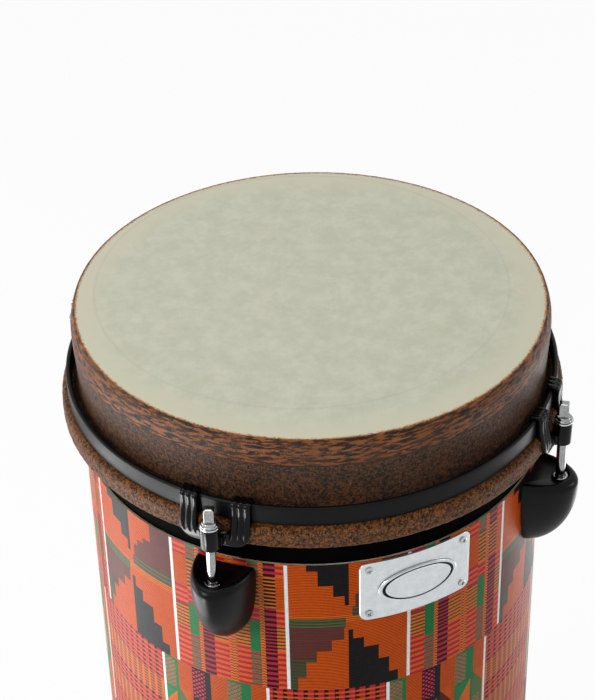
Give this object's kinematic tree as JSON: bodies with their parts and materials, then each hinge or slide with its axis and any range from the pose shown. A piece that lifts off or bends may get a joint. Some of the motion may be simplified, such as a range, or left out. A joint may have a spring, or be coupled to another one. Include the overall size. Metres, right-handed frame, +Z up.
{
  "type": "tubano drum",
  "caption": "Tall floor-standing tubular hand drum with a key-tuned head, black claws, rods and lugs, a printed fabric covering, rubber feet and an internal sound tube.",
  "frame": {"origin": "on the floor plane under the feet, on the axis of the shell", "axes": "+Z up along the shell's axis; the badge, which is the front, faces -Y; +X is to the right of someone who looks at the badge"},
  "size_m": [0.326, 0.326, 0.686],
  "materials": {
    "shell_fibre": "matt black painted wood-fibre tube",
    "wrap": "printed woven-look covering with a slight sheen",
    "head_film": "mottled translucent film, satin",
    "head_collar": "rough brown fibre texture",
    "rim_steel": "satin black powder coat",
    "claw_steel": "gloss black enamel",
    "rod_chrome": "bright chrome plate",
    "zinc_screws": "zinc plated",
    "lug_black": "satin black moulding",
    "badge_metal": "brushed satin",
    "fibreboard": "raw fibreboard",
    "tube_board": "wound board tube",
    "foot_rubber": "matt moulded rubber"
  },
  "bodies": {
    "drum_body": {"shell": "shell_fibre", "shell_wrap": "wrap", "base_baffle": "fibreboard", "resonator_tube": "tube_board", "tube_collar": "fibreboard", "badge_plate": "badge_metal", "badge_medallion": "badge_metal", "badge_screw_1": "zinc_screws", "badge_screw_2": "zinc_screws", "badge_screw_3": "zinc_screws", "badge_screw_4": "zinc_screws", "lug_casing_1": "lug_black", "lug_casing_2": "lug_black", "lug_casing_3": "lug_black", "lug_casing_4": "lug_black", "lug_nut_1": "rod_chrome", "lug_nut_2": "rod_chrome", "lug_nut_3": "rod_chrome", "lug_nut_4": "rod_chrome", "lug_screw_1_upper": "zinc_screws", "lug_screw_1_lower": "zinc_screws", "lug_screw_2_upper": "zinc_screws", "lug_screw_2_lower": "zinc_screws", "lug_screw_3_upper": "zinc_screws", "lug_screw_3_lower": "zinc_screws", "lug_screw_4_upper": "zinc_screws", "lug_screw_4_lower": "zinc_screws", "foot_1": "foot_rubber", "foot_2": "foot_rubber", "foot_3": "foot_rubber", "foot_4": "foot_rubber", "foot_screw_1_left": "zinc_screws", "foot_screw_1_right": "zinc_screws", "foot_screw_2_left": "zinc_screws", "foot_screw_2_right": "zinc_screws", "foot_screw_3_left": "zinc_screws", "foot_screw_3_right": "zinc_screws", "foot_screw_4_left": "zinc_screws", "foot_screw_4_right": "zinc_screws"},
    "head": {"head_skin": "head_film", "head_collar": "head_collar", "head_hoop": "head_collar"},
    "counterhoop": {"rim": "rim_steel"},
    "claw_1": {"tuning_claw_1": "claw_steel"},
    "claw_2": {"tuning_claw_2": "claw_steel"},
    "claw_3": {"tuning_claw_3": "claw_steel"},
    "claw_4": {"tuning_claw_4": "claw_steel"},
    "washer_1": {"rod_washer_1": "zinc_screws"},
    "washer_2": {"rod_washer_2": "zinc_screws"},
    "washer_3": {"rod_washer_3": "zinc_screws"},
    "washer_4": {"rod_washer_4": "zinc_screws"},
    "rod_1": {"tension_rod_1": "rod_chrome"},
    "rod_2": {"tension_rod_2": "rod_chrome"},
    "rod_3": {"tension_rod_3": "rod_chrome"},
    "rod_4": {"tension_rod_4": "rod_chrome"}
  },
  "joints": [
    {"name": "head_lift", "type": "slide", "parent": "drum_body", "child": "head", "axis": [0, 0, 1], "range_m": [0, 0.08]},
    {"name": "rim_lift", "type": "slide", "parent": "head", "child": "counterhoop", "axis": [0, 0, 1], "range_m": [0, 0.06]},
    {"name": "claw_1_lift", "type": "slide", "parent": "counterhoop", "child": "claw_1", "axis": [0, 0, 1], "range_m": [0, 0.035]},
    {"name": "claw_2_lift", "type": "slide", "parent": "counterhoop", "child": "claw_2", "axis": [0, 0, 1], "range_m": [0, 0.035]},
    {"name": "claw_3_lift", "type": "slide", "parent": "counterhoop", "child": "claw_3", "axis": [0, 0, 1], "range_m": [0, 0.035]},
    {"name": "claw_4_lift", "type": "slide", "parent": "counterhoop", "child": "claw_4", "axis": [0, 0, 1], "range_m": [0, 0.035]},
    {"name": "washer_1_lift", "type": "slide", "parent": "claw_1", "child": "washer_1", "axis": [0, 0, 1], "range_m": [0, 0.02398]},
    {"name": "washer_2_lift", "type": "slide", "parent": "claw_2", "child": "washer_2", "axis": [0, 0, 1], "range_m": [0, 0.02398]},
    {"name": "washer_3_lift", "type": "slide", "parent": "claw_3", "child": "washer_3", "axis": [0, 0, 1], "range_m": [0, 0.02398]},
    {"name": "washer_4_lift", "type": "slide", "parent": "claw_4", "child": "washer_4", "axis": [0, 0, 1], "range_m": [0, 0.02398]},
    {"name": "rod_1_turn", "type": "hinge", "parent": "washer_1", "child": "rod_1", "pos_m": [0.11978, -0.11978, 0.6], "axis": [0, 0, 1], "range_deg": [0, 6800]},
    {"name": "rod_2_turn", "type": "hinge", "parent": "washer_2", "child": "rod_2", "pos_m": [0.11978, 0.11978, 0.6], "axis": [0, 0, 1], "range_deg": [0, 6800]},
    {"name": "rod_3_turn", "type": "hinge", "parent": "washer_3", "child": "rod_3", "pos_m": [-0.11978, 0.11978, 0.6], "axis": [0, 0, 1], "range_deg": [0, 6800]},
    {"name": "rod_4_turn", "type": "hinge", "parent": "washer_4", "child": "rod_4", "pos_m": [-0.11978, -0.11978, 0.6], "axis": [0, 0, 1], "range_deg": [0, 6800]}
  ],
  "couplings": [
    {"joint": "rod_1_turn", "follows": "washer_1_lift", "rad_per_m": 4947.4},
    {"joint": "rod_2_turn", "follows": "washer_2_lift", "rad_per_m": 4947.4},
    {"joint": "rod_3_turn", "follows": "washer_3_lift", "rad_per_m": 4947.4},
    {"joint": "rod_4_turn", "follows": "washer_4_lift", "rad_per_m": 4947.4}
  ]
}
